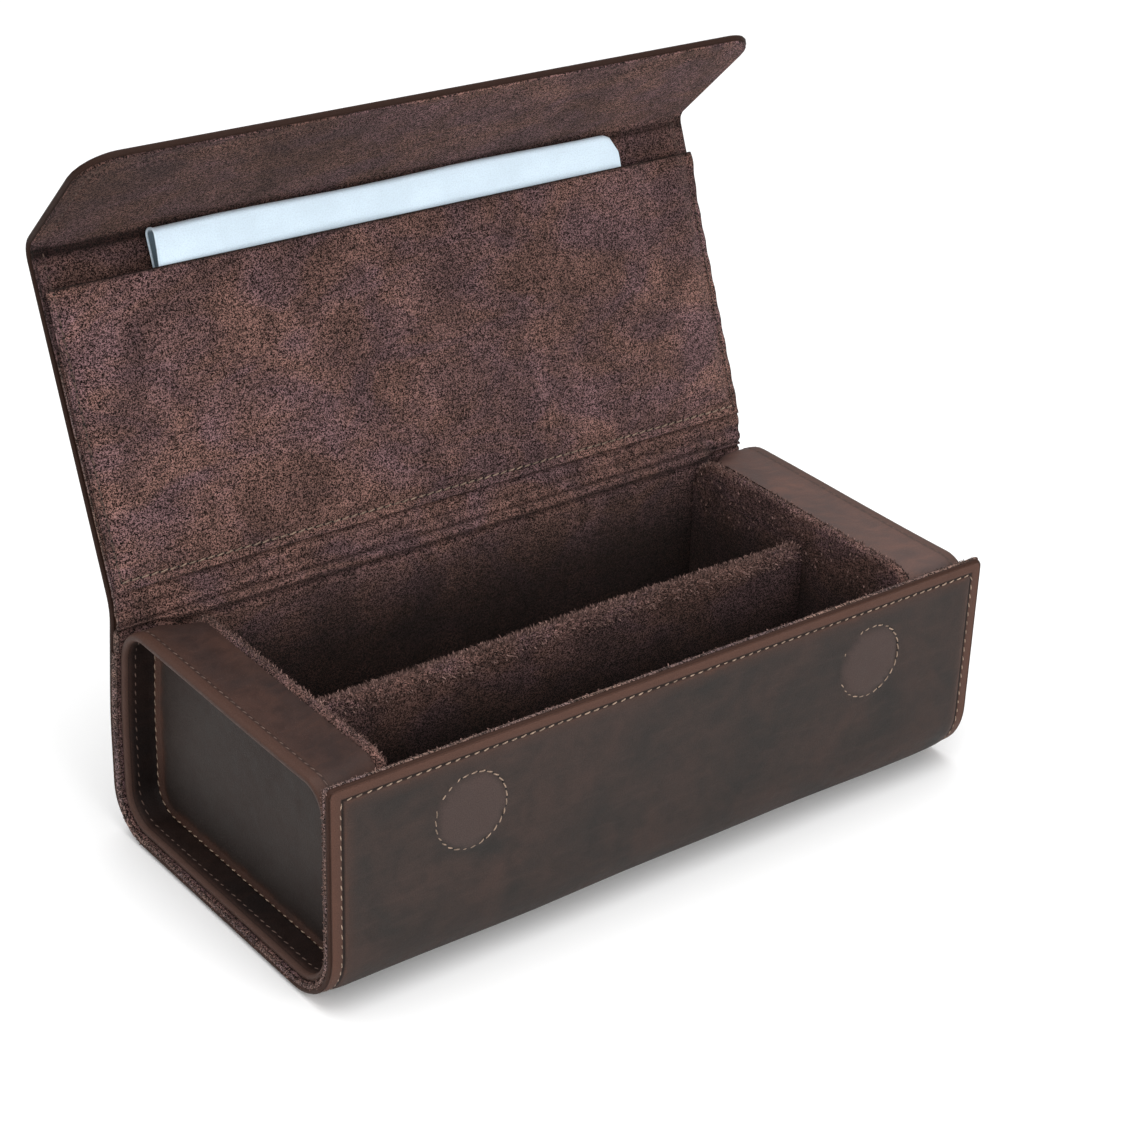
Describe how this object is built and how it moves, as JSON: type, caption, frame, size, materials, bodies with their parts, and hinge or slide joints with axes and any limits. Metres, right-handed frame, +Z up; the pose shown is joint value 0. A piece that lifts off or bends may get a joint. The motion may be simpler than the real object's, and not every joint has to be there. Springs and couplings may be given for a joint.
{
  "type": "eyeglasses case",
  "caption": "Hinged leather case with suede-lined compartments for folded eyeglasses, a front flap held by magnets and a lid pocket for a cleaning cloth.",
  "frame": {"origin": "centre of the flat underside of the case body, where it stands", "axes": "+X along the case from its left to its right end, +Y from the front wall to the back wall, +Z up"},
  "size_m": [0.19, 0.1246, 0.1681],
  "materials": {
    "leather": "oiled dark brown pull-up leather, satin",
    "edge_leather": "the same leather, rubbed to red-brown at its edges",
    "suede": "napped brown suede, matte",
    "greyboard": "bare pressed board",
    "magnet_steel": "plated disc magnet",
    "microfibre": "pale blue microfibre, matte"
  },
  "bodies": {
    "case": {"body_leather": "leather", "body_lining": "suede", "front_board": "greyboard", "back_board": "greyboard", "base_board": "greyboard", "front_magnet_left": "magnet_steel", "front_magnet_right": "magnet_steel", "left_end_band": "edge_leather", "left_end_panel": "leather", "left_end_core": "greyboard", "left_end_lining": "suede", "right_end_band": "edge_leather", "right_end_panel": "leather", "right_end_core": "greyboard", "right_end_lining": "suede", "divider_cover": "suede", "divider_board": "greyboard"},
    "lid": {"lid_leather": "leather", "lid_board": "greyboard", "lid_lining": "suede", "lid_pocket": "suede", "cleaning_cloth": "microfibre", "hinge_leather": "leather", "hinge_lining": "suede"},
    "flap": {"flap_leather": "leather", "flap_board": "greyboard", "flap_lining": "suede", "flap_magnet_left": "magnet_steel", "flap_magnet_right": "magnet_steel", "fold_leather": "leather", "fold_lining": "suede"}
  },
  "joints": [
    {"name": "lid_hinge", "type": "hinge", "parent": "case", "child": "lid", "pos_m": [0, 0.04, 0.058], "axis": [1, 0, 0], "range_deg": [-38, 112], "deforming": ["hinge_leather", "hinge_lining"]},
    {"name": "flap_fold", "type": "hinge", "parent": "lid", "child": "flap", "pos_m": [0, 0.07466, 0.13805], "axis": [1, 0, 0], "range_deg": [-68.5, 21.5], "deforming": ["fold_leather", "fold_lining"]}
  ]
}
